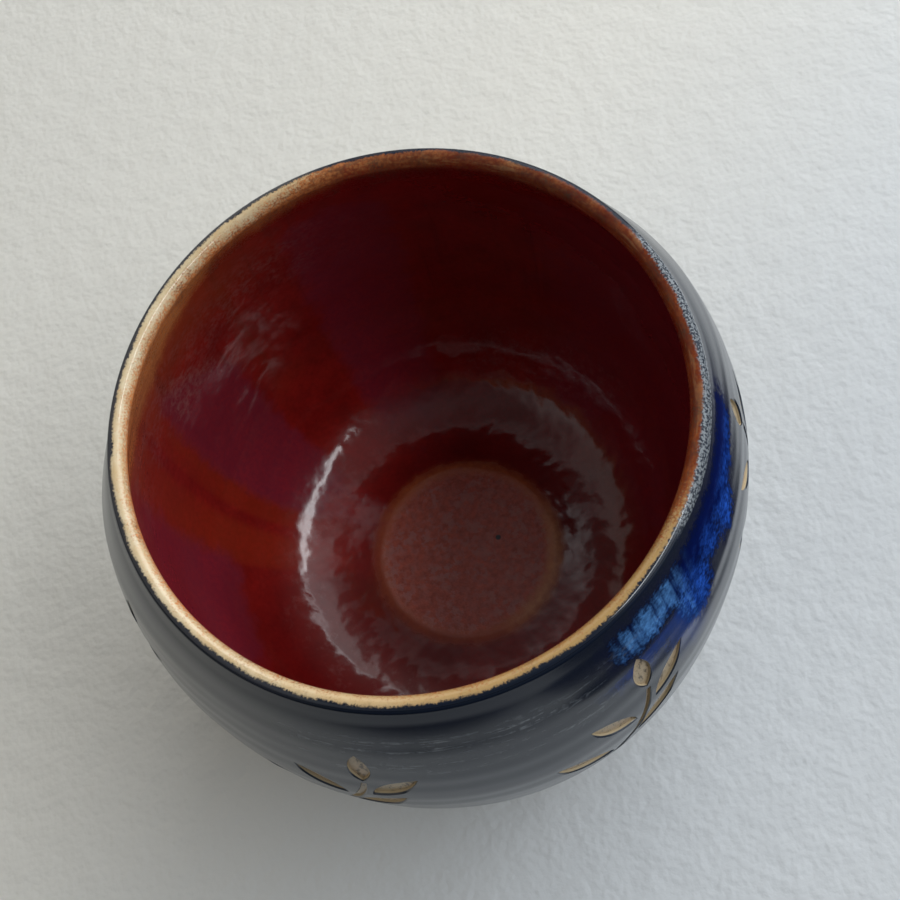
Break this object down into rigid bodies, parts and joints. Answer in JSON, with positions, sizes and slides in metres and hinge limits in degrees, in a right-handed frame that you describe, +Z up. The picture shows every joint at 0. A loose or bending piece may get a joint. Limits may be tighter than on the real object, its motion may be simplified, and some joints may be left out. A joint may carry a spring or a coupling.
{
  "type": "handleless cup",
  "caption": "Round-bellied hand-thrown stoneware cup without a handle: red glass liner, cream rim, black carved outside with a blue pour, turned foot ring.",
  "frame": {"origin": "on the surface that the cup stands on, under the centre of its foot ring", "axes": "+Z up along the cup's axis, from the foot to the mouth; -Y faces the viewer of the picture, with the blue pour between +X and -Y"},
  "size_m": [0.0946, 0.0946, 0.079],
  "materials": {
    "clay": "bare fired stoneware, matte, fine grog",
    "red_glaze": "high gloss, deep red with purple patches and rust streaks",
    "cream_glaze": "gloss, cream turning rust where it thins",
    "black_glaze": "high gloss, black with faint throwing rings",
    "blue_glaze": "gloss, mottled cobalt blue"
  },
  "bodies": {
    "root": {"clay_body": "clay", "liner_glaze": "red_glaze", "rim_glaze": "cream_glaze", "outer_glaze": "black_glaze", "blue_glaze_run": "blue_glaze"}
  },
  "joints": []
}
